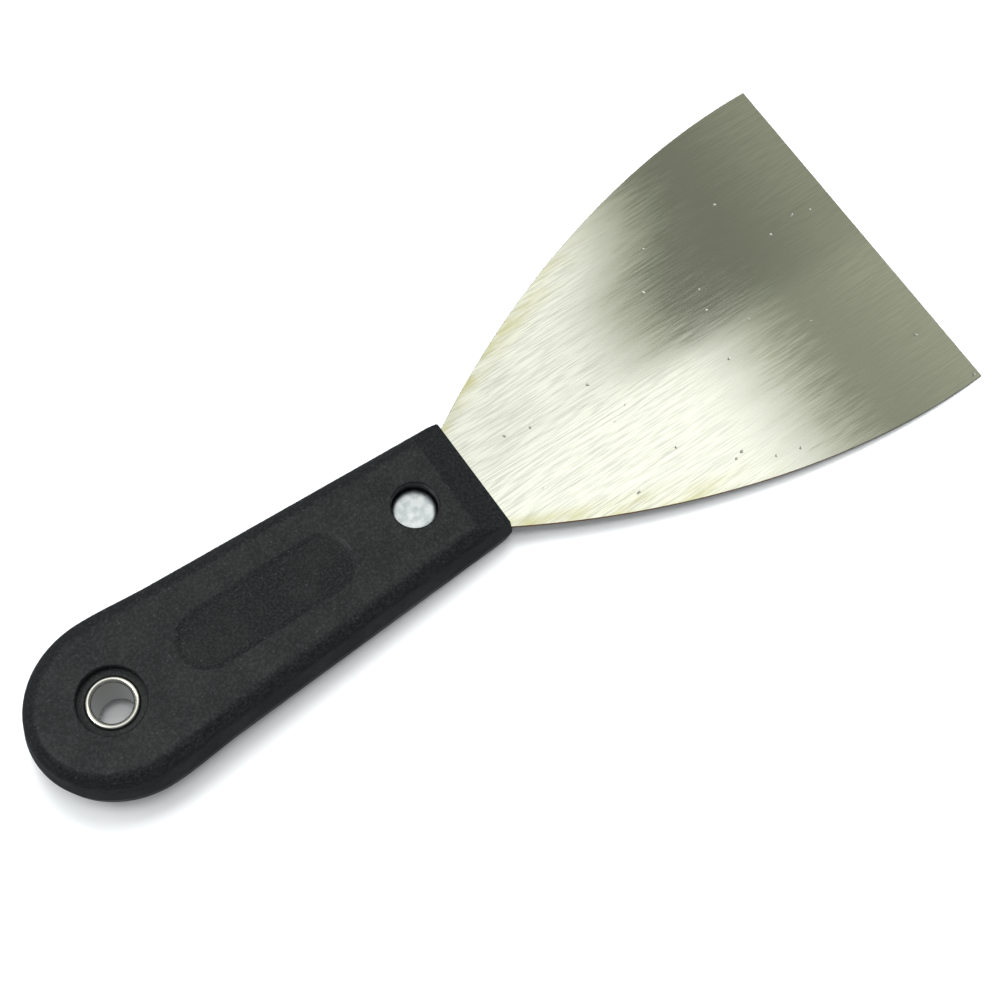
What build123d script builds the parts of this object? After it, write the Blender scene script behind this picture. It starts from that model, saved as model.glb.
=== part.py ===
from build123d import *
from math import radians, tan
import os

# Flexible putty knife, lying flat: +X runs along the knife to its working edge, +Y across it, +Z up.
# The origin lies under the middle of the knife, on the surface that the handle rests on.
# All sizes are in millimetres.

# Whole knife
overall_length = 186.4
blade_exposed = 93.7
handle_thickness = 15.4

# Blade: one stamped sheet of spring steel, thinned towards its working edge
blade_width = 75.0
neck_width = 22.5
neck_thickness = 0.7
edge_thickness = 0.5
flare_start = 29.4
flare_rise = 17.25
flare_end = 30.0
flare_swell = 0.8
flex_line = 12.0

# Tang: the part of the sheet that the handle holds
tang_width = 16.0
tang_shoulder = 9.0

# Handle scales: two equal mouldings that meet in the plane of the blade
front_width = 24.4
waist_width = 30.2
butt_width = 32.2
waist_back = 60.0
butt_start = 74.5
wall_draft = 7.0
shoulder_radius = 3.0
front_face_height = 4.2
front_lean = 0.45
front_corner_radius = 0.4
bevel_length = 6.8
parting_chamfer = 0.15
panel_length = 35.4
panel_width = 11.6
panel_depth = 0.25
panel_slope = 0.9
panel_back = 45.3

# Rivet near the blade, sunk in a counterbore on each side
rivet_back = 13.7
rivet_recess_diameter = 8.6
recess_edge = 0.3
rivet_floor = 3.1
rivet_head_diameter = 8.2
rivet_head_rim = 1.3
rivet_head_dome = 0.4
rivet_shank_diameter = 4.8

# Hang-hole eyelet: a tube whose two ends are curled over into the counterbores
hole_back = 76.6
hole_recess_diameter = 12.2
hole_floor = 5.55
eyelet_bore_diameter = 7.2
eyelet_wall = 0.35
eyelet_curl = 0.65

# Inside of each scale: pockets between ribs, and a peg and socket at each end
tang_clearance = 0.1
fit_clearance = 0.05
core_count = 3
core_length = 13.0
core_width = 17.0
core_pitch = 15.0
core_top = 4.7
core_middle = 45.0
peg_diameter = 2.6
peg_height = 2.0
peg_places = ((22.5, 9.9), (66.0, 11.4))

# Worked out from the sizes above
handle_length = overall_length - blade_exposed
front_x = handle_length - overall_length / 2
mid_z = handle_thickness / 2
half_height = handle_thickness / 2
rivet_x = front_x - rivet_back
hole_x = front_x - hole_back
eyelet_inner_r = eyelet_bore_diameter / 2
eyelet_outer_r = eyelet_inner_r + eyelet_wall


def at(back, across, height=0.0):
    """A point given by its distance behind the handle's front, its side and its height over mid-plane."""
    return (front_x - back, across, height)


def closed_outline(edges):
    """The face inside an upper outline and its mirror image in the knife's long axis."""
    upper = Curve() + edges
    whole = upper + upper.mirror(Plane.XZ)
    return make_face(whole)


def blade_side():
    """One flared side of the exposed blade, from the handle's front to the working edge."""
    half_neck = neck_width / 2
    half_blade = blade_width / 2
    return Bezier(
        at(0, half_neck),
        at(-flare_start, half_neck + flare_rise),
        at(-blade_exposed + flare_end, half_blade + flare_swell),
        at(-blade_exposed, half_blade),
    )


def tang_side(room=0.0):
    """One side of the tang, with room round it: narrow behind the front, round at the hang hole."""
    half_tang = tang_width / 2 + room
    shoulder = Spline(
        at(0, neck_width / 2 + room),
        at(tang_shoulder, half_tang),
        tangents=[(-1, -0.55), (-1, 0)],
    )
    run = Line(at(tang_shoulder, half_tang), at(hole_back, half_tang))
    end = CenterArc(at(hole_back, 0), half_tang, 90, 90)
    return [shoulder, run, end]


def sheet_outline():
    """The outline of the whole stamped sheet, tang and blade in one."""
    side = blade_side()
    edge = Line(side @ 1, at(-blade_exposed, 0))
    return closed_outline([edge, side] + tang_side())


def stamped_sheet():
    """The whole sheet of steel: full thickness to the flex line, then thinner to the edge."""
    edge_x = front_x + blade_exposed
    full = neck_thickness / 2
    thin = edge_thickness / 2
    taper = Polyline(
        (-overall_length, -full),
        (front_x + flex_line, -full),
        (edge_x, -thin),
        (edge_x, thin),
        (front_x + flex_line, full),
        (-overall_length, full),
        close=True,
    )
    side_view = make_face(Plane.XZ * taper)
    wedge = extrude(side_view, amount=blade_width, both=True)
    flat = extrude(sheet_outline(), amount=neck_thickness, both=True)
    holes = Pos(rivet_x, 0, 0) * Cylinder(rivet_shank_diameter / 2 + fit_clearance, 5)
    holes += Pos(hole_x, 0, 0) * Cylinder(eyelet_outer_r + fit_clearance, 5)
    return (flat & wedge) - holes


def beyond_flex_line():
    """A block that holds everything on the working-edge side of the flex line."""
    block = Box(
        overall_length,
        2 * blade_width,
        4 * neck_thickness,
        align=(Align.MIN, Align.CENTER, Align.CENTER),
    )
    return Pos(front_x + flex_line, 0, 0) * block


def scale_outline(inset):
    """The handle in plan, drawn in by an inset: straight sides, a slight swell, a rounded butt."""
    half_front = front_width / 2 - inset
    half_waist = waist_width / 2 - inset
    half_butt = butt_width / 2 - inset
    butt_end = handle_length - inset
    round_x = butt_end - butt_start
    quarter = 0.5523
    side = Line(at(0, half_front), at(waist_back, half_waist))
    swell = Bezier(
        at(waist_back, half_waist),
        at(waist_back + 5, half_waist + 0.23),
        at(butt_start - 5, half_butt),
        at(butt_start, half_butt),
    )
    butt = Bezier(
        at(butt_start, half_butt),
        at(butt_start + quarter * round_x, half_butt),
        at(butt_end, quarter * half_butt),
        at(butt_end, 0),
    )
    front = Line(at(0, 0), at(0, half_front))
    return closed_outline([front, side, swell, butt])


def front_bevel():
    """What is cut from a scale's front: the bevel, and the slight lean of the face below it."""
    corner = Polyline(
        at(bevel_length, 0, half_height),
        at(front_lean, 0, front_face_height),
        at(0, 0, neck_thickness),
        at(-5, 0, neck_thickness),
        at(-5, 0, half_height + 1),
        at(bevel_length, 0, half_height + 1),
        close=True,
    )
    return extrude(make_face(corner), amount=front_width, both=True)


def scale_cores():
    """The pockets that keep the moulding's walls thin, with ribs left between them."""
    cores = Part()
    for i in range(core_count):
        back = core_middle + (i - (core_count - 1) / 2) * core_pitch
        cell = extrude(RectangleRounded(core_length, core_width, 1.5), amount=core_top)
        cores += Pos(at(back, 0)) * cell
    return cores


def tang_pocket():
    """Room for one half of the tang's thickness, open at the scale's front."""
    mouth = neck_width / 2 + tang_clearance
    lip = Polyline(at(-1, 0), at(-1, mouth), at(0, mouth))
    outline = closed_outline(lip.edges() + tang_side(tang_clearance))
    return extrude(outline, amount=neck_thickness / 2, both=True)


def name_panel():
    """The shallow panel in the top face, with sloping sides."""
    mouth = SlotOverall(panel_length, panel_width)
    floor = SlotOverall(panel_length - 2 * panel_slope, panel_width - 2 * panel_slope)
    return loft([mouth.face(), (Pos(0, 0, -panel_depth) * floor).face()], ruled=True)


def is_front_corner(edge):
    """Whether an edge is one of the two upright corners of a scale's front face."""
    middle = edge.center()
    upright = abs(edge.tangent_at(0.5).Z) > 0.9
    return upright and middle.X > front_x - front_lean and abs(middle.Y) > front_width / 2 - 1


def is_recess_rim(edge):
    """Whether an edge is the round mouth of a counterbore in the top face."""
    radii = (rivet_recess_diameter / 2, hole_recess_diameter / 2)
    round_edge = edge.geom_type == GeomType.CIRCLE
    on_top = abs(edge.center().Z - half_height) < 0.01
    return round_edge and on_top and any(abs(edge.radius - r) < 0.01 for r in radii)


def upper_scale():
    """The upper scale, with the knife's mid-plane at height zero."""
    top_inset = half_height * tan(radians(wall_draft))
    body = loft([scale_outline(0), Pos(0, 0, half_height) * scale_outline(top_inset)], ruled=True)
    top = body.faces().sort_by(Axis.Z)[-1]
    front = top.edges().sort_by(Axis.X)[-1]
    rounded = [edge for edge in top.edges() if edge != front]
    body = fillet(rounded, shoulder_radius)
    body -= front_bevel()
    corners = [edge for edge in body.edges() if is_front_corner(edge)]
    body = fillet(corners, front_corner_radius)
    foot = body.faces().sort_by(Axis.Z)[0]
    body = chamfer(foot.outer_wire().edges(), parting_chamfer)
    body -= Pos(at(panel_back, 0, half_height)) * name_panel()
    body -= tang_pocket()
    body -= scale_cores()
    up = (Align.CENTER, Align.CENTER, Align.MIN)
    depth = half_height
    body -= Pos(rivet_x, 0, rivet_floor) * Cylinder(rivet_recess_diameter / 2, depth, align=up)
    body -= Pos(hole_x, 0, hole_floor) * Cylinder(hole_recess_diameter / 2, depth, align=up)
    body = fillet([edge for edge in body.edges() if is_recess_rim(edge)], recess_edge)
    body -= Pos(rivet_x, 0, 0) * Cylinder(rivet_shank_diameter / 2 + fit_clearance, 2 * depth)
    body -= Pos(hole_x, 0, 0) * Cylinder(eyelet_outer_r + fit_clearance, 2 * depth)
    for back, across in peg_places:
        peg = Cylinder(peg_diameter / 2, 2 * peg_height)
        body += Pos(at(back, across)) * peg
        socket = Cylinder(peg_diameter / 2 + fit_clearance, 2 * peg_height + 1)
        body -= Pos(at(back, -across)) * socket
    return body


def front_rivet():
    """A solid rivet with a low dome on each head, as one turned shape about its own axis."""
    shank_r = rivet_shank_diameter / 2
    head_r = rivet_head_diameter / 2
    rim = rivet_floor + rivet_head_rim
    crown = rim + rivet_head_dome
    profile = [
        Line((0, 0), (shank_r, 0)),
        Line((shank_r, 0), (shank_r, rivet_floor)),
        Line((shank_r, rivet_floor), (head_r, rivet_floor)),
        Line((head_r, rivet_floor), (head_r, rim)),
        Bezier((head_r, rim), (head_r, crown), (head_r / 2, crown), (0, crown)),
        Line((0, crown), (0, 0)),
    ]
    half = revolve(Plane.XZ * make_face(Curve() + profile), Axis.Z)
    return Pos(rivet_x, 0, 0) * (half + half.mirror(Plane.XY))


def hang_eyelet():
    """The tube through the hang hole, with a curl at each end that bears on the counterbore's floor."""
    curl_x = eyelet_inner_r + eyelet_curl
    outer = eyelet_curl
    inner = eyelet_curl - eyelet_wall
    profile = [
        Line((eyelet_inner_r, 0), (eyelet_inner_r, hole_floor)),
        CenterArc((curl_x, hole_floor), outer, 0, 180),
        Line((curl_x + outer, hole_floor), (curl_x + inner, hole_floor)),
        CenterArc((curl_x, hole_floor), inner, 0, 180),
        Line((curl_x - inner, hole_floor), (curl_x - inner, 0)),
        Line((curl_x - inner, 0), (eyelet_inner_r, 0)),
    ]
    half = revolve(Plane.XZ * make_face(Curve() + profile), Axis.Z)
    return Pos(hole_x, 0, 0) * (half + half.mirror(Plane.XY))


def main():
    sheet = stamped_sheet()
    face_block = beyond_flex_line()
    scale = upper_scale()
    nodes = {
        "blade_face": sheet & face_block,
        "blade_tang": sheet - face_block,
        "upper_scale": scale,
        "lower_scale": scale.rotate(Axis.X, 180),
        "front_rivet": front_rivet(),
        "hang_eyelet": hang_eyelet(),
    }
    os.makedirs("parts", exist_ok=True)
    for name, shape in nodes.items():
        export_step(Pos(0, 0, mid_z) * shape, f"parts/{name}.step")


main()
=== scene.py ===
# %% [markdown]
# # A flexible putty knife
# A putty knife is a flared sheet of spring steel clamped between two moulded handle halves.
# A solid rivet holds the sheet near the blade, and an eyelet lines the hole that it hangs by.
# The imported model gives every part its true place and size, in metres: +X runs to the working
# edge, +Y across the blade and +Z up. The two handle halves keep their own meshes. The blade,
# the rivet and the eyelet are modelled again here, because they need finer surfaces.

# %% Load the frame
import bpy
import bmesh
import math
from mathutils import Matrix, Vector, geometry


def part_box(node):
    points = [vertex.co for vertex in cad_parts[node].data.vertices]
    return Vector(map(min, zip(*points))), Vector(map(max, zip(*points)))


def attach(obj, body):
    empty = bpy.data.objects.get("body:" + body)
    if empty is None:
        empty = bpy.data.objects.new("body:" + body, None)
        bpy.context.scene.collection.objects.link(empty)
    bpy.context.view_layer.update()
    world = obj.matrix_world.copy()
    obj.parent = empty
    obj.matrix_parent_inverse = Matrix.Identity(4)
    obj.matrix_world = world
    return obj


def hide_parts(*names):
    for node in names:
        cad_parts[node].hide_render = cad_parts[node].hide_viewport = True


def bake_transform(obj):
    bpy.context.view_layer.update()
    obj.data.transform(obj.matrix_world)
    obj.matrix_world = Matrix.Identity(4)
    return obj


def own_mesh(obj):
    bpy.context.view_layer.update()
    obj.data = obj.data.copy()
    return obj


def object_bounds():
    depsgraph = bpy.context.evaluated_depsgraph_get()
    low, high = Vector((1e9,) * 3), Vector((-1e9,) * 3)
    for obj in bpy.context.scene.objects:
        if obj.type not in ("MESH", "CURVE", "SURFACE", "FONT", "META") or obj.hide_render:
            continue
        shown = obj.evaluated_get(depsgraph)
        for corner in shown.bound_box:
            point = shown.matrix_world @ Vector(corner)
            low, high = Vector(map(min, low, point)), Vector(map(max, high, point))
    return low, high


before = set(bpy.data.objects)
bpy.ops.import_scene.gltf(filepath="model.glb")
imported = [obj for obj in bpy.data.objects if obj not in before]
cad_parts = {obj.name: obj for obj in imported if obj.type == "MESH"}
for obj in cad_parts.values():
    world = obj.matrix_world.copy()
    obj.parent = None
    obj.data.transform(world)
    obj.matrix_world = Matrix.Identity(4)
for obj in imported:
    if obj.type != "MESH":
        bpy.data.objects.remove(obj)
cad_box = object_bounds()
MM = 0.001
print("nodes:", sorted(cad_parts))

# %% [markdown]
# ## Places that everything else is measured from
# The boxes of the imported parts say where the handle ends, where the blade ends and how high the
# middle plane of the knife lies. The rivet and the eyelet stand on their own axes.

# %% Measure the parts
scale_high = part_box("upper_scale")[1]
face_low, face_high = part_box("blade_face")
tang_low, tang_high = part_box("blade_tang")
rivet_low, rivet_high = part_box("front_rivet")
eyelet_low, eyelet_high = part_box("hang_eyelet")

FRONT_X = scale_high.x
EDGE_X = face_high.x
FLEX_X = face_low.x
MID_Z = (face_low.z + face_high.z) / 2
RIVET_X = (rivet_low.x + rivet_high.x) / 2
HOLE_X = (eyelet_low.x + eyelet_high.x) / 2
print(f"front {FRONT_X:.4f}, flex line {FLEX_X:.4f}, edge {EDGE_X:.4f}, mid-plane {MID_Z:.4f}")

# %% [markdown]
# ## Two helpers for materials
# A hex colour is stored with the screen's curve in it, and a shader wants the light itself, so
# one function turns the first into the second. The other adds a node: it takes the node's kind,
# its settings, and what goes into each of its inputs, which is either a value or a link.

# %% Helpers for materials
def linear(hex_colour):
    """The linear RGBA of an sRGB hex colour such as '#2b2c30'."""
    out = []
    for i in (1, 3, 5):
        c = int(hex_colour[i:i + 2], 16) / 255
        out.append(c / 12.92 if c <= 0.04045 else ((c + 0.055) / 1.055) ** 2.4)
    return (*out, 1.0)


def add(tree, kind, inputs=None, **settings):
    """Adds a node of a kind to a tree, with its settings, and fills or links its inputs."""
    node = tree.nodes.new(kind)
    for name, value in settings.items():
        setattr(node, name, value)
    for key, value in (inputs or {}).items():
        if isinstance(value, bpy.types.NodeSocket):
            tree.links.new(value, node.inputs[key])
        else:
            node.inputs[key].default_value = value
    return node


def new_material(name):
    """An empty material with its output node, ready for a shader."""
    made = bpy.data.materials.new(name)
    made.use_nodes = True
    made.node_tree.nodes.clear()
    out = add(made.node_tree, "ShaderNodeOutputMaterial")
    return made, made.node_tree, out.inputs["Surface"]


# %% [markdown]
# ## Patterns for the steel
# The sheet was rolled, hardened and then drawn under an abrasive belt, which leaves fine
# parallel lines along the knife. Noise that is stretched in one direction looks like that. The
# patterns read the sheet's own UV map, in units of 100 mm, so that they bend with the blade.
# The small functions below stretch the noise, carry a value from one range to another, add and
# multiply values, and mix values or colours.

# %% Steel patterns
UV_UNIT_MM = 100.0


def stretched_noise(tree, place, long_mm, wide_mm, detail=2.0):
    """Noise drawn out along the sheet: each patch is about long_mm by wide_mm."""
    scale = (UV_UNIT_MM / long_mm, UV_UNIT_MM / wide_mm, 1.0)
    mapped = add(tree, "ShaderNodeMapping", {"Vector": place, "Scale": scale})
    cloud = add(tree, "ShaderNodeTexNoise", {
        "Vector": mapped.outputs["Vector"], "Scale": 1.0, "Detail": detail, "Roughness": 0.55,
    })
    return cloud.outputs["Fac"]


def remap(tree, value, low, high, to_low, to_high, kind="SMOOTHSTEP"):
    """A value carried from one range to another, held at its ends."""
    node = add(tree, "ShaderNodeMapRange", {
        "Value": value, "From Min": low, "From Max": high, "To Min": to_low, "To Max": to_high,
    }, interpolation_type=kind)
    return node.outputs["Result"]


def calculate(tree, operation, a, b=0.0):
    """One sum of two values."""
    node = add(tree, "ShaderNodeMath", {0: a, 1: b}, operation=operation)
    return node.outputs["Value"]


def blend_value(tree, share, a, b):
    """Value a, mixed with value b by a share from 0 to 1."""
    node = add(tree, "ShaderNodeMix", {0: share, 2: a, 3: b}, data_type="FLOAT")
    return node.outputs[0]


def blend_colour(tree, share, a, b, kind="MIX"):
    """Colour a, mixed with or multiplied by colour b, by a share from 0 to 1."""
    node = add(tree, "ShaderNodeMix", {0: share, 6: a, 7: b}, data_type="RGBA", blend_type=kind)
    return node.outputs[2]


# %% [markdown]
# ## Brushed spring steel
# To the eye the sheet is a bright metal whose shade and gloss change from line to line. Each
# line also leans the surface a little, to the front or to the back, so that the mirrored light
# ends in streaks and not in a soft edge. Near the sheared sides lies a thin yellow bloom of
# oxide, and here and there is a nick with a bright or dark lip. The brushing fades towards the
# working edge, where use has polished it.

# %% Make the brushed steel
FINE_LINES_MM = (6.0, 0.22)
MIDDLE_LINES_MM = (9.0, 0.45)
BROAD_LINES_MM = (40.0, 3.0)
LINE_HEIGHT_MM = 0.0005
LINE_LEAN = 0.065
BLOOM_PATCH_MM = (9.0, 3.0)
NICK_CELL_MM = (5.0, 4.0)
NICK_WOBBLE = 0.16
NICK_DEPTH_MM = 0.04


def brushed_steel():
    """Belt-brushed spring steel, in lines 0.22 mm wide and 6 mm long among broader ones."""
    made, tree, surface = new_material("brushed_spring_steel")
    place = add(tree, "ShaderNodeUVMap", uv_map="sheet").outputs["UV"]
    side = add(tree, "ShaderNodeAttribute", attribute_name="to_side").outputs["Fac"]
    along = add(tree, "ShaderNodeAttribute", attribute_name="to_edge").outputs["Fac"]
    fine = stretched_noise(tree, place, *FINE_LINES_MM, detail=3.0)
    middle = stretched_noise(tree, place, *MIDDLE_LINES_MM, detail=3.0)
    broad = stretched_noise(tree, place, *BROAD_LINES_MM)
    lines = blend_value(tree, 0.5, fine, middle)
    worn = remap(tree, along, 0.3, 0.7, 1.0, 0.25)

    depth = calculate(tree, "MULTIPLY", remap(tree, lines, 0.38, 0.58, 0.27, 0.0), worn)
    shade = calculate(tree, "SUBTRACT", 1.0, depth)
    grey = add(tree, "ShaderNodeCombineColor", {0: shade, 1: shade, 2: shade}).outputs["Color"]
    colour = blend_colour(tree, 1.0, linear("#cfd1c7"), grey, "MULTIPLY")

    patchy = stretched_noise(tree, place, *BLOOM_PATCH_MM, detail=4.0)
    near_side = remap(tree, side, 0.76, 1.0, 0.0, 1.0)
    near_handle = remap(tree, along, 0.2, 0.6, 1.0, 0.0)
    bloom = calculate(tree, "MULTIPLY", calculate(tree, "MULTIPLY", near_side, near_handle),
                      remap(tree, patchy, 0.35, 0.7, 0.1, 1.0))
    colour = blend_colour(tree, calculate(tree, "MULTIPLY", bloom, 0.85), colour,
                          linear("#a8a670"))

    nick_scale = (UV_UNIT_MM / NICK_CELL_MM[0], UV_UNIT_MM / NICK_CELL_MM[1], 1.0)
    nick_place = add(tree, "ShaderNodeMapping", {
        "Vector": place, "Scale": nick_scale}).outputs["Vector"]
    wobble = add(tree, "ShaderNodeTexNoise", {"Vector": nick_place, "Scale": 5.0, "Detail": 2.0})
    nick_place = add(tree, "ShaderNodeVectorMath", {
        0: wobble.outputs["Color"], 1: (NICK_WOBBLE, NICK_WOBBLE, 0.0), 2: nick_place,
    }, operation="MULTIPLY_ADD").outputs["Vector"]
    cells = add(tree, "ShaderNodeTexVoronoi", {"Vector": nick_place, "Scale": 1.0})
    nick = remap(tree, cells.outputs["Distance"], 0.03, 0.085, 1.0, 0.0)
    chance = add(tree, "ShaderNodeSeparateColor", {"Color": cells.outputs["Color"]})
    nick = calculate(tree, "MULTIPLY", nick, remap(tree, chance.outputs[0], 0.2, 0.8, 0.0, 1.0))

    roughness = remap(tree, lines, 0.38, 0.62, 0.12, 0.07)
    roughness = calculate(tree, "ADD", roughness, calculate(tree, "MULTIPLY", nick, 0.3))
    height = calculate(tree, "ADD", calculate(tree, "MULTIPLY", lines, LINE_HEIGHT_MM),
                       calculate(tree, "MULTIPLY", nick, -NICK_DEPTH_MM))
    bump = add(tree, "ShaderNodeBump", {"Height": height, "Strength": 1.0, "Distance": MM})
    lean = calculate(tree, "SUBTRACT", blend_value(tree, 0.2, lines, broad), 0.5)
    lean = calculate(tree, "MULTIPLY", lean, LINE_LEAN)
    leaning = add(tree, "ShaderNodeCombineXYZ", {"X": lean})
    tipped = add(tree, "ShaderNodeVectorMath", {
        0: bump.outputs["Normal"], 1: leaning.outputs["Vector"]}, operation="ADD")
    normal = add(tree, "ShaderNodeVectorMath", {0: tipped.outputs["Vector"]},
                 operation="NORMALIZE")
    shader = add(tree, "ShaderNodeBsdfPrincipled", {
        "Base Color": colour, "Roughness": roughness, "Metallic": 1.0,
        "Normal": normal.outputs["Vector"],
    })
    tree.links.new(shader.outputs["BSDF"], surface)
    return made


steel = brushed_steel()
print("made", steel.name)

# %% [markdown]
# ## Sheared edge
# The outline was punched out and never polished. Steel that is left raw like this takes a skin
# of brown rust first, so the narrow faces round the sheet look dull and brown.

# %% Make the sheared edge
RUST_PATCH_MM = 2.5


def sheared_edge():
    """The punched side of the sheet: rough, with a patchy skin of brown rust."""
    made, tree, surface = new_material("sheared_steel_edge")
    place = add(tree, "ShaderNodeUVMap", uv_map="sheet").outputs["UV"]
    along = add(tree, "ShaderNodeAttribute", attribute_name="to_edge").outputs["Fac"]
    patches = stretched_noise(tree, place, RUST_PATCH_MM, RUST_PATCH_MM, detail=4.0)
    rust = calculate(tree, "MULTIPLY", remap(tree, along, 0.45, 0.85, 1.0, 0.12),
                     remap(tree, patches, 0.3, 0.6, 0.6, 1.0))
    colour = blend_colour(tree, rust, linear("#8d8b80"), linear("#7c4a1e"))
    metallic = remap(tree, rust, 0.0, 1.0, 1.0, 0.25, "LINEAR")
    shader = add(tree, "ShaderNodeBsdfPrincipled", {
        "Base Color": colour, "Roughness": 0.55, "Metallic": metallic,
    })
    tree.links.new(shader.outputs["BSDF"], surface)
    return made


raw_edge = sheared_edge()
print("made", raw_edge.name)

# %% [markdown]
# ## The outline of the sheet
# The blade was punched from a strip. Each side leaves the handle at an angle, swells, and comes
# nearly parallel to the knife at the working edge, which one Bezier curve follows well. A short
# second curve narrows the sheet to its tang inside the handle.

# %% Draw the side of the sheet
NECK_HALF = 11.25 * MM
FLARE_HANDLE = Vector((29.4, 17.25, 0)) * MM
EDGE_HANDLE = Vector((30.0, 0.8, 0)) * MM
TANG_HALF = 8.0 * MM
SHOULDER = 9.0 * MM
SHOULDER_DIP = 1.62 * MM
NECK_THICK = tang_high.z - tang_low.z
EDGE_THICK = 0.5 * MM
HALF_EDGE = 37.5 * MM
FLARE_ROWS = 90
SHOULDER_ROWS = 10

neck_point = Vector((FRONT_X, NECK_HALF, 0))
edge_point = Vector((EDGE_X, HALF_EDGE, 0))
flare = geometry.interpolate_bezier(
    neck_point,
    neck_point + FLARE_HANDLE,
    edge_point + Vector((-EDGE_HANDLE.x, EDGE_HANDLE.y, 0)),
    edge_point,
    FLARE_ROWS,
)
tang_point = Vector((FRONT_X - SHOULDER, TANG_HALF, 0))
shoulder = geometry.interpolate_bezier(
    tang_point,
    tang_point + Vector((SHOULDER / 3, 0, 0)),
    neck_point - Vector((SHOULDER / 3, SHOULDER_DIP, 0)),
    neck_point,
    SHOULDER_ROWS,
)
side_rows = shoulder[:-1] + flare
print("rows along the sheet:", len(side_rows))


# %% [markdown]
# ## The blade
# The real blade and its tang are one sheet, so this is one mesh too. A grid is laid out along
# the knife and each of its rows is drawn in or out to the sheet's width there, which keeps the
# rows square to the brushing and lets the sheet bend smoothly. The tang behind it never bends,
# so its outline and its two holes are simply filled flat. Solidify then gives the thickness.

# %% Make the blade
RIVET_HOLE_R = 2.45 * MM
EYELET_HOLE_R = 4.0 * MM
TANG_END_STEPS = 24
HOLE_STEPS = 32
RIM_ANGLE = 1.0
RIM_BREAK = 0.06 * MM
FLAT_ENOUGH = 0.9
BLADE_CREASE = math.radians(20)


def sheet_thickness(x):
    """Full thickness up to the flex line, then thinner to the working edge."""
    share = max(0.0, min(1.0, (x - FLEX_X) / (EDGE_X - FLEX_X)))
    return NECK_THICK + (EDGE_THICK - NECK_THICK) * share


def blade_grid(bm, columns=40):
    """The bending part of the sheet, as a grid drawn to the sheet's width at every row."""
    rows = len(side_rows) - 1
    grid = bmesh.ops.create_grid(bm, x_segments=rows, y_segments=columns, size=1.0)["verts"]
    for vert in grid:
        row = side_rows[round((vert.co.x + 1) / 2 * rows)]
        vert.co = Vector((row.x, row.y * vert.co.y, 0))
    return [v for v in grid if abs(v.co.x - tang_point.x) < 1e-6]


def tang_fill(bm, seam):
    """The tang behind the grid, filled flat round its two holes."""
    seam = sorted(seam, key=lambda v: v.co.y)
    turns = [math.radians(90 + 180 * i / TANG_END_STEPS) for i in range(TANG_END_STEPS + 1)]
    end = [
        bm.verts.new((HOLE_X + TANG_HALF * math.cos(a), TANG_HALF * math.sin(a), 0))
        for a in turns
    ]
    loop = [seam[-1]] + end + [seam[0]]
    edges = [bm.edges.new(pair) for pair in zip(loop, loop[1:])]
    edges += [bm.edges.get(pair) for pair in zip(seam, seam[1:])]
    for x, radius in ((RIVET_X, RIVET_HOLE_R), (HOLE_X, EYELET_HOLE_R)):
        ring = bmesh.ops.create_circle(
            bm, segments=HOLE_STEPS, radius=radius, matrix=Matrix.Translation((x, 0, 0)))["verts"]
        edges += list({e for v in ring for e in v.link_edges})
    bmesh.ops.triangle_fill(bm, edges=edges, use_beauty=True)


def make_blade():
    """The whole sheet, with its UV map and how far each point lies towards side and edge."""
    bm = bmesh.new()
    seam = blade_grid(bm)
    tang_fill(bm, seam)
    bmesh.ops.recalc_face_normals(bm, faces=bm.faces)
    bmesh.ops.solidify(bm, geom=bm.faces[:], thickness=NECK_THICK)
    middle = sum(v.co.z for v in bm.verts) / len(bm.verts)
    for vert in bm.verts:
        half = sheet_thickness(vert.co.x) / 2
        vert.co.z = MID_Z + math.copysign(half, vert.co.z - middle)
    bmesh.ops.recalc_face_normals(bm, faces=bm.faces)
    rim = [e for e in bm.edges if e.is_manifold and e.calc_face_angle() > RIM_ANGLE]
    bmesh.ops.bevel(bm, geom=rim, offset=RIM_BREAK, segments=2, profile=0.5, affect="EDGES",
                    material=-1)
    mesh = bpy.data.meshes.new("blade")
    for face in bm.faces:
        face.material_index = 1 if abs(face.normal.z) < FLAT_ENOUGH else 0
        face.smooth = True
    sheet = bm.loops.layers.uv.new("sheet")
    to_side = bm.verts.layers.float.new("to_side")
    to_edge = bm.verts.layers.float.new("to_edge")
    widths = [(row.x, row.y) for row in side_rows]
    for vert in bm.verts:
        nearest = min(widths, key=lambda w: abs(w[0] - vert.co.x))[1]
        vert[to_side] = min(1.0, abs(vert.co.y) / nearest)
        vert[to_edge] = (vert.co.x - FRONT_X) / (EDGE_X - FRONT_X)
    for face in bm.faces:
        for loop in face.loops:
            across = loop.vert.co.y + (loop.vert.co.z - MID_Z)
            loop[sheet].uv = (loop.vert.co.x / (UV_UNIT_MM * MM), across / (UV_UNIT_MM * MM))
    bm.to_mesh(mesh)
    bm.free()
    mesh.materials.append(steel)
    mesh.materials.append(raw_edge)
    mesh.set_sharp_from_angle(angle=BLADE_CREASE)
    return mesh


blade = bpy.data.objects.new("blade", make_blade())
bpy.context.scene.collection.objects.link(blade)
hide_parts("blade_face", "blade_tang")
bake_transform(blade)
print("blade faces:", len(blade.data.polygons))

# %% [markdown]
# ## Moulded polypropylene
# The halves are injection moulded in black polypropylene, in a mould whose walls were spark
# eroded. That leaves a fine even grain that scatters the light, so the black looks soft and
# slightly grey, with paler specks of dust and scuff caught in it. The floor of the sunk panel
# is darker, because less of the light above glances off it.

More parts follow.
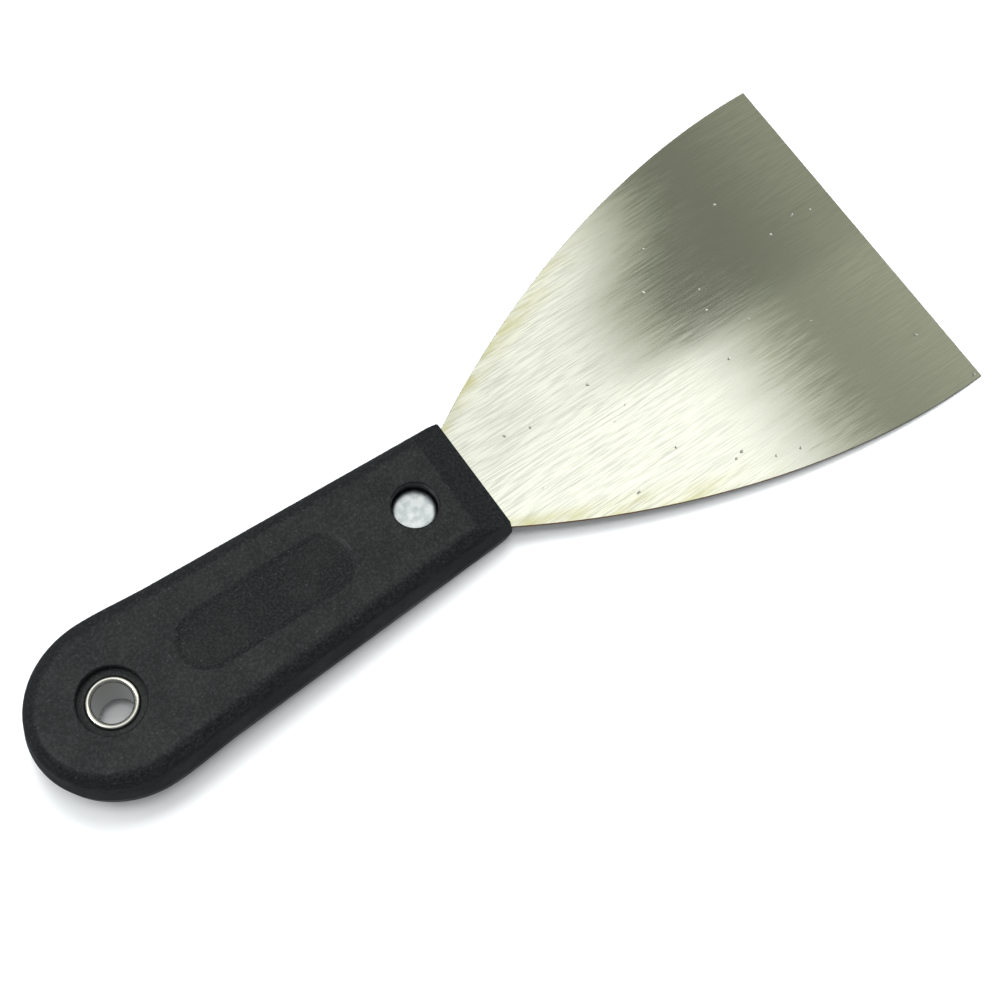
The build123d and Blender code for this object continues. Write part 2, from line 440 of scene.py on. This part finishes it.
# %% Make the polypropylene
GRAIN_MM = 0.4
GRAIN_HEIGHT_MM = 0.03
CLOUD_MM = 8.0
SPECK_MM = 0.8
SPECK_SHARE = 0.3
PANEL_X = FRONT_X - 45.3 * MM
PANEL_R = 5.8 * MM
PANEL_SLOPE = 1.2 * MM
PANEL_STRAIGHT = 11.9 * MM


def black_polypropylene():
    """Moulded black polypropylene: grain 0.4 mm across over faint clouds and pale specks."""
    made, tree, surface = new_material("moulded_black_polypropylene")
    place = add(tree, "ShaderNodeTexCoord").outputs["Object"]
    grain = add(tree, "ShaderNodeTexNoise", {
        "Vector": place, "Scale": 1 / (GRAIN_MM * MM), "Detail": 3.0, "Roughness": 0.65,
    }).outputs["Fac"]
    clouds = add(tree, "ShaderNodeTexNoise", {
        "Vector": place, "Scale": 1 / (CLOUD_MM * MM), "Detail": 4.0, "Roughness": 0.6,
    }).outputs["Fac"]
    specks = add(tree, "ShaderNodeTexVoronoi", {"Vector": place, "Scale": 1 / (SPECK_MM * MM)})
    speck = remap(tree, specks.outputs["Distance"], 0.10, 0.30, 1.0, 0.0)
    chance = add(tree, "ShaderNodeSeparateColor", {"Color": specks.outputs["Color"]})
    speck = calculate(tree, "MULTIPLY", speck, remap(tree, chance.outputs[0], 0.5, 1.0, 0.0, 1.0))
    shade = remap(tree, grain, 0.40, 0.66, 0.0, 1.0)
    colour = blend_colour(tree, shade, linear("#0c0e0f"), linear("#212324"))

    spot = add(tree, "ShaderNodeSeparateXYZ", {"Vector": place})
    along = calculate(tree, "ABSOLUTE", calculate(tree, "SUBTRACT", spot.outputs["X"], PANEL_X))
    along = calculate(tree, "MAXIMUM", calculate(tree, "SUBTRACT", along, PANEL_STRAIGHT), 0.0)
    apart = add(tree, "ShaderNodeCombineXYZ", {"X": along, "Y": spot.outputs["Y"]})
    apart = add(tree, "ShaderNodeVectorMath", {0: apart.outputs["Vector"]}, operation="LENGTH")
    in_panel = remap(tree, apart.outputs["Value"], PANEL_R - PANEL_SLOPE, PANEL_R, 1.0, 0.0)
    gloss = remap(tree, calculate(tree, "MULTIPLY", in_panel, clouds), 0.0, 0.6, 0.30, 0.19)
    colour = blend_colour(tree, calculate(tree, "MULTIPLY", speck, SPECK_SHARE), colour,
                          linear("#4c5050"))
    bump = add(tree, "ShaderNodeBump", {
        "Height": grain, "Strength": 1.0, "Distance": GRAIN_HEIGHT_MM * MM})
    roughness = remap(tree, clouds, 0.35, 0.65, 0.36, 0.48)
    shader = add(tree, "ShaderNodeBsdfPrincipled", {
        "Base Color": colour, "Roughness": roughness, "IOR": 1.49, "Specular IOR Level": gloss,
        "Normal": bump.outputs["Normal"],
    })
    tree.links.new(shader.outputs["BSDF"], surface)
    return made


polypropylene = black_polypropylene()
for name in ("upper_scale", "lower_scale"):
    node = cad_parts[name]
    node.data.materials.clear()
    node.data.materials.append(polypropylene)
print("made", polypropylene.name)

# %% [markdown]
# ## Bare aluminium
# The rivet is soft aluminium, closed with a hammer or a press. It stays bare, so it is pale
# grey, a little rough, and marked with small dents and scratches in every direction.

# %% Make the aluminium
DENT_MM = 1.6
DENT_HEIGHT_MM = 0.020
SCRATCH_MM = (4.0, 0.12)
SCRATCH_HEIGHT_MM = 0.003
SCRATCH_TURN = 0.9


def scuffed_aluminium():
    """Bare aluminium with dents 1.6 mm apart and scratches 0.12 mm wide."""
    made, tree, surface = new_material("scuffed_aluminium")
    place = add(tree, "ShaderNodeTexCoord").outputs["Object"]
    dents = add(tree, "ShaderNodeTexNoise", {
        "Vector": place, "Scale": 1 / (DENT_MM * MM), "Detail": 2.0, "Roughness": 0.5,
    }).outputs["Fac"]
    turned = add(tree, "ShaderNodeMapping", {
        "Vector": place, "Rotation": (0, 0, SCRATCH_TURN),
        "Scale": (1 / (SCRATCH_MM[0] * MM), 1 / (SCRATCH_MM[1] * MM), 1),
    }).outputs["Vector"]
    scratches = add(tree, "ShaderNodeTexNoise", {
        "Vector": turned, "Scale": 1.0, "Detail": 1.0,
    }).outputs["Fac"]
    dull = remap(tree, dents, 0.35, 0.65, 0.0, 1.0)
    colour = blend_colour(tree, dull, linear("#d6dbdd"), linear("#bac2c5"))
    height = calculate(tree, "ADD", calculate(tree, "MULTIPLY", dents, DENT_HEIGHT_MM),
                       calculate(tree, "MULTIPLY", scratches, SCRATCH_HEIGHT_MM))
    bump = add(tree, "ShaderNodeBump", {"Height": height, "Strength": 1.0, "Distance": MM})
    shader = add(tree, "ShaderNodeBsdfPrincipled", {
        "Base Color": colour, "Roughness": remap(tree, scratches, 0.35, 0.65, 0.30, 0.40),
        "Metallic": 1.0, "Normal": bump.outputs["Normal"],
    })
    tree.links.new(shader.outputs["BSDF"], surface)
    return made


aluminium = scuffed_aluminium()
print("made", aluminium.name)

# %% [markdown]
# ## Bright nickel plate
# The eyelet is thin steel plated with nickel. Plating follows every curve, so it shines like a
# warm mirror, softened a little by the lines that drawing left round the tube.

# %% Make the nickel
DRAWN_LINE_MM = 0.2
DRAWN_PATCH_MM = 3.0


def bright_nickel():
    """Nickel plate: a warm mirror, with drawing lines 0.2 mm wide round the tube."""
    made, tree, surface = new_material("bright_nickel_plate")
    place = add(tree, "ShaderNodeTexCoord").outputs["Object"]
    per_patch, per_line = 1 / (DRAWN_PATCH_MM * MM), 1 / (DRAWN_LINE_MM * MM)
    drawn = add(tree, "ShaderNodeMapping", {
        "Vector": place, "Scale": (per_patch, per_patch, per_line)}).outputs["Vector"]
    lines = add(tree, "ShaderNodeTexNoise", {"Vector": drawn, "Scale": 1.0, "Detail": 2.0})
    roughness = remap(tree, lines.outputs["Fac"], 0.35, 0.65, 0.14, 0.26)
    shader = add(tree, "ShaderNodeBsdfPrincipled", {
        "Base Color": linear("#d9d8cf"), "Roughness": roughness, "Metallic": 1.0,
    })
    tree.links.new(shader.outputs["BSDF"], surface)
    return made


nickel = bright_nickel()
print("made", nickel.name)

# %% [markdown]
# ## Turned pieces
# The rivet and the eyelet are round, so each is a half section spun about its own axis. Only
# the upper half of a section is drawn: mirroring the result in the middle plane gives the rest.

# %% Spin a section
SPIN_STEPS = 96
SEAM_MM = 0.0005
CREASE = math.radians(40)


def spin_section(name, axis_x, section, material):
    """A round piece from the upper half of its section, given as (radius, height) in mm."""
    bm = bmesh.new()
    verts = [bm.verts.new((axis_x + r * MM, 0, MID_Z + h * MM)) for r, h in section]
    edges = [bm.edges.new(pair) for pair in zip(verts, verts[1:])]
    bmesh.ops.spin(bm, geom=verts + edges, cent=(axis_x, 0, 0), axis=(0, 0, 1), dvec=(0, 0, 0),
                   angle=math.tau, steps=SPIN_STEPS, use_merge=True, use_duplicate=False)
    upper = bm.verts[:] + bm.edges[:] + bm.faces[:]
    copied = bmesh.ops.duplicate(bm, geom=upper)["geom"]
    lower = [g for g in copied if isinstance(g, bmesh.types.BMVert)]
    flip = Matrix.Translation((0, 0, 2 * MID_Z)) @ Matrix.Diagonal((1, 1, -1, 1))
    bmesh.ops.transform(bm, matrix=flip, verts=lower)
    bmesh.ops.remove_doubles(bm, verts=bm.verts, dist=SEAM_MM * MM)
    bmesh.ops.recalc_face_normals(bm, faces=bm.faces)
    for face in bm.faces:
        face.smooth = True
    mesh = bpy.data.meshes.new(name)
    bm.to_mesh(mesh)
    bm.free()
    mesh.materials.append(material)
    mesh.set_sharp_from_angle(angle=CREASE)
    made = bpy.data.objects.new(name, mesh)
    bpy.context.scene.collection.objects.link(made)
    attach(made, "handle")
    return made


def arc(centre, radius, start, end, steps):
    """Points along an arc in a section, angles in degrees."""
    turns = [math.radians(start + (end - start) * i / steps) for i in range(steps + 1)]
    return [(centre[0] + radius * math.cos(a), centre[1] + radius * math.sin(a)) for a in turns]


# %% [markdown]
# ## The front rivet
# A plain aluminium rivet runs through both halves and the tang. Its two heads sit on the floors
# of round recesses, well below the handle's faces, and each is a low drum with a tight round
# rim and a hardly domed top. The numbers are in millimetres from the knife's middle plane.

# %% Make the rivet
HEAD_R = 4.1
SHANK_R = 2.4
RIVET_FLOOR = 3.1
HEAD_RIM = 1.3
CROWN = RIVET_FLOOR + HEAD_RIM + 0.4

crown_curve = geometry.interpolate_bezier(
    Vector((HEAD_R, RIVET_FLOOR + HEAD_RIM, 0)),
    Vector((HEAD_R, CROWN - 0.08, 0)),
    Vector((HEAD_R - 0.35, CROWN - 0.04, 0)),
    Vector((HEAD_R - 1.5, CROWN, 0)),
    16,
)
rivet_section = [(SHANK_R, 0), (SHANK_R, RIVET_FLOOR), (HEAD_R, RIVET_FLOOR)]
rivet_section += [(p.x, p.y) for p in crown_curve] + [(0, CROWN)]
rivet = spin_section("rivet", RIVET_X, rivet_section, aluminium)
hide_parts("front_rivet")
print("rivet faces:", len(rivet.data.polygons))

# %% [markdown]
# ## The hang-hole eyelet
# The eyelet starts as a thin tube. A punch curls both of its ends outwards and down onto the
# floors of their recesses, which clamps the butt together and gives the string a smooth lip.
# Its section is therefore a straight wall and two half circles, one outside and one inside the
# curled metal.

# %% Make the eyelet
BORE_R = 3.6
WALL = 0.35
CURL_R = 0.65
CURL_Z = 5.55

curl_centre = (BORE_R + CURL_R, CURL_Z)
eyelet_section = [(BORE_R, 0)]
eyelet_section += arc(curl_centre, CURL_R, 180, 0, 20)
eyelet_section += arc(curl_centre, CURL_R - WALL, 0, 180, 12)
eyelet_section += [(BORE_R + WALL, 0)]
eyelet = spin_section("eyelet", HOLE_X, eyelet_section, nickel)
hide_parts("hang_eyelet")
print("eyelet faces:", len(eyelet.data.polygons))

# %% [markdown]
# ## The floor
# Laid down, this knife tips forward: it rests on the lower ridge of the handle's front bevel
# and on its working edge, with the butt just off the table. The floor is the plane through
# those two lines. The paper is white and matt, and glows with painted light a little far out,
# where the lamps don't reach, so that it meets the plain white behind it without an edge.

# %% Lay the floor
BEVEL_BACK = 6.8 * MM
FLOOR_HALF = 3.0
PAINTED_GLOW_RADII = (0.3, 0.9)
PAINTED_GLOW = 0.9

rest_ridge = Vector((FRONT_X - BEVEL_BACK, 0, cad_box[0].z))
rest_edge = Vector((EDGE_X, 0, MID_Z - EDGE_THICK / 2))
slope = rest_edge - rest_ridge
tilt = math.atan2(slope.z, slope.x)

bm = bmesh.new()
lie = Matrix.Translation(rest_ridge) @ Matrix.Rotation(-tilt, 4, "Y")
bmesh.ops.create_grid(bm, x_segments=4, y_segments=4, size=FLOOR_HALF, matrix=lie)
floor_mesh = bpy.data.meshes.new("floor")
bm.to_mesh(floor_mesh)
bm.free()
paper, paper_tree, paper_surface = new_material("white_paper")
away = add(paper_tree, "ShaderNodeVectorMath", {
    0: add(paper_tree, "ShaderNodeTexCoord").outputs["Object"]}, operation="LENGTH")
# Painted light: the paper glows more the farther it lies from the middle of the scene, standing
# in for lamp light far out.
painted_glow = remap(paper_tree, away.outputs["Value"], *PAINTED_GLOW_RADII, 0.0, PAINTED_GLOW)
matt = add(paper_tree, "ShaderNodeBsdfPrincipled", {
    "Base Color": linear("#f2f4f4"), "Roughness": 0.9, "Specular IOR Level": 0.1,
    "Emission Color": linear("#fbfcfc"), "Emission Strength": painted_glow,
})
paper_tree.links.new(matt.outputs["BSDF"], paper_surface)
floor_mesh.materials.append(paper)
floor = bpy.data.objects.new("floor", floor_mesh)
bpy.context.scene.collection.objects.link(floor)
floor.visible_glossy = False
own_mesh(floor)
print(f"floor tilt {math.degrees(tilt):.2f} degrees")

# %% [markdown]
# ## The room
# Bright metal shows what is round it, so the room's brightness has a shape: bright overhead, a
# pale band low down, and walls that are dim on the near side, which keeps the handle's shoulders
# dark. The camera itself sees plain white beyond the floor.

# %% Set the sky
world = bpy.data.worlds.new("studio")
bpy.context.scene.world = world
world.use_nodes = True
sky = world.node_tree
sky.nodes.clear()
direction = add(sky, "ShaderNodeTexCoord").outputs["Generated"]
direction = add(sky, "ShaderNodeSeparateXYZ", {"Vector": direction})
height, across = direction.outputs["Z"], direction.outputs["Y"]
horizon = remap(sky, height, 0.05, 0.35, 0.30, 0.0)
overhead = remap(sky, height, 0.88, 0.98, 0.0, 0.45)
walls = remap(sky, across, -0.4, 0.6, 0.19, 0.34)
room = calculate(sky, "ADD", calculate(sky, "ADD", horizon, overhead), walls)
room = calculate(sky, "MULTIPLY", room, remap(sky, height, -0.1, 0.05, 0.38, 1.0))
dim_room = add(sky, "ShaderNodeBackground", {"Color": linear("#f6faff"), "Strength": room})
backdrop = add(sky, "ShaderNodeBackground", {"Color": linear("#fbfcfc"), "Strength": 1.0})
seen = add(sky, "ShaderNodeLightPath").outputs["Is Camera Ray"]
both = add(sky, "ShaderNodeMixShader", {
    0: seen, 1: dim_room.outputs["Background"], 2: backdrop.outputs["Background"]})
add(sky, "ShaderNodeOutputWorld", {"Surface": both.outputs["Shader"]})
print("room lit from above, dimmer on the near side")

# %% [markdown]
# ## The soft box
# A soft box hangs where the blade mirrors it. Its cloth is bright over the near half of the
# blade and falls to grey towards the working edge, and on the far side it falls off sooner and
# more dimly. That is what leaves the pale field, the dark field and the border between them.

# %% Hang the soft box
BOX_MIDDLE = (0.145, 0.13, 0.458)
BOX_HALF = (0.275, 0.12)
BORDER_Y = (0.115, 0.121)
BULGE_Y = (0.152, 0.188)
BULGE_DEPTH = 0.026
NEAR_FADE_X = (0.225, 0.300)
NEAR_GLOW = (1.75, 0.38)
FAR_FADE_X = (0.188, 0.258)
FAR_GLOW = (1.50, 0.27)
BUTT_DIM_X = (0.12, 0.19)
BUTT_DIM = 0.93
EDGE_GLOW_X = (0.29, 0.36)
EDGE_GLOW = 0.18

box_mesh = bpy.data.meshes.new("soft_box")
bm = bmesh.new()
hang = Matrix.Translation(BOX_MIDDLE) @ Matrix.Diagonal((*BOX_HALF, 1, 1))
bmesh.ops.create_grid(bm, x_segments=1, y_segments=1, size=1.0, matrix=hang)
bm.to_mesh(box_mesh)
bm.free()
lamp, lamp_tree, lamp_surface = new_material("soft_box_cloth")
spot = add(lamp_tree, "ShaderNodeTexCoord").outputs["Object"]
spot = add(lamp_tree, "ShaderNodeSeparateXYZ", {"Vector": spot})
box_x, box_y = spot.outputs["X"], spot.outputs["Y"]
far_side = remap(lamp_tree, box_y, *BORDER_Y, 0.0, 1.0)
bulge = remap(lamp_tree, box_y, *BULGE_Y, 0.0, -BULGE_DEPTH)
reach = calculate(lamp_tree, "ADD", box_x, bulge)
near_glow = remap(lamp_tree, reach, *NEAR_FADE_X, *NEAR_GLOW)
far_glow = remap(lamp_tree, reach, *FAR_FADE_X, *FAR_GLOW)
dimmed = remap(lamp_tree, box_x, *BUTT_DIM_X, BUTT_DIM, 1.0)
glow = blend_value(lamp_tree, far_side, near_glow, far_glow)
glow = calculate(lamp_tree, "MULTIPLY", glow, dimmed)
edge_glow = remap(lamp_tree, box_x, *EDGE_GLOW_X, 0.0, EDGE_GLOW)
glow = calculate(lamp_tree, "ADD", glow, edge_glow)
tint = remap(lamp_tree, glow, 0.4, 1.4, 0.0, 1.0)
cloth = add(lamp_tree, "ShaderNodeEmission", {
    "Color": blend_colour(lamp_tree, tint, linear("#f4f8e0"), linear("#fffffa")),
    "Strength": glow,
})
lamp_tree.links.new(cloth.outputs["Emission"], lamp_surface)
box_mesh.materials.append(lamp)
soft_box = bpy.data.objects.new("soft_box", box_mesh)
bpy.context.scene.collection.objects.link(soft_box)
soft_box.visible_camera = False
soft_box.visible_shadow = False
print("soft box at", BOX_MIDDLE)

# %% [markdown]
# ## Lights for the matt surfaces
# A small key lamp beyond the knife throws the short shadow on the near side, a weak one in
# front softens it, and a wide one overhead fills the rest. None of them shows in the metal,
# because the soft box and the room do that work.

# %% Add the lights that fill the room
def area_light(name, place, aim, size, energy):
    """A round lamp that lights matt surfaces and stays out of reflections."""
    data = bpy.data.lights.new(name, "AREA")
    data.shape = "DISK"
    data.size = size
    data.energy = energy
    made = bpy.data.objects.new(name, data)
    bpy.context.scene.collection.objects.link(made)
    made.location = place
    made.rotation_euler = (Vector(place) - Vector(aim)).to_track_quat("Z", "Y").to_euler()
    made.visible_glossy = False


area_light("key", (0.03, 0.10, 0.75), aim=(0, 0, 0), size=0.22, energy=3.0)
area_light("front", (-0.08, -0.07, 0.62), aim=(0, 0, 0), size=0.12, energy=1.1)
area_light("fill", (0.0, 0.1, 1.4), aim=(0, 0, 0), size=4.0, energy=22.5)

# %% [markdown]
# ## The small lamp
# One small bright lamp beyond the butt puts a spark on curled and domed metal: the eyelet's
# ring and the rim of the rivet.

# %% Hang the small lamp beyond the butt
LAMP_MIDDLE = (-0.24, 0.09, 0.45)
LAMP_HALF = (0.06, 0.06)
LAMP_GLOW = 9.0

lamp_mesh = bpy.data.meshes.new("small_lamp")
bm = bmesh.new()
hang = Matrix.Translation(LAMP_MIDDLE) @ Matrix.Diagonal((*LAMP_HALF, 1, 1))
bmesh.ops.create_grid(bm, x_segments=1, y_segments=1, size=1.0, matrix=hang)
bm.to_mesh(lamp_mesh)
bm.free()
bulb, bulb_tree, bulb_surface = new_material("lamp_glass")
bulb_light = add(bulb_tree, "ShaderNodeEmission", {
    "Color": linear("#ffffff"), "Strength": LAMP_GLOW})
bulb_tree.links.new(bulb_light.outputs["Emission"], bulb_surface)
lamp_mesh.materials.append(bulb)
small_lamp = bpy.data.objects.new("small_lamp", lamp_mesh)
bpy.context.scene.collection.objects.link(small_lamp)
small_lamp.visible_camera = False
small_lamp.visible_shadow = False
print("small lamp at", LAMP_MIDDLE)

# %% [markdown]
# ## The camera
# The camera stands above the handle, a little to its right, and looks down on the knife. It is
# turned about its own line of sight so that the knife runs from corner to corner.

# %% Place the camera
CAMERA_PLACE = Vector((-87.7, -85.3, 326.7)) * MM
CAMERA_AIM = Vector((1.1, -5.9, 7.7)) * MM
CAMERA_ROLL = math.radians(13.24)

camera_data = bpy.data.cameras.new("camera")
camera_data.sensor_width = 36.0
camera_data.lens = 66.6
camera = bpy.data.objects.new("camera", camera_data)
bpy.context.scene.collection.objects.link(camera)
look = (CAMERA_AIM - CAMERA_PLACE).to_track_quat("-Z", "Y").to_matrix().to_4x4()
roll = Matrix.Rotation(CAMERA_ROLL, 4, "Z")
camera.matrix_world = Matrix.Translation(CAMERA_PLACE) @ look @ roll
bpy.context.scene.camera = camera
bpy.context.scene.view_settings.view_transform = "Standard"
print("camera at", [round(c, 4) for c in CAMERA_PLACE])
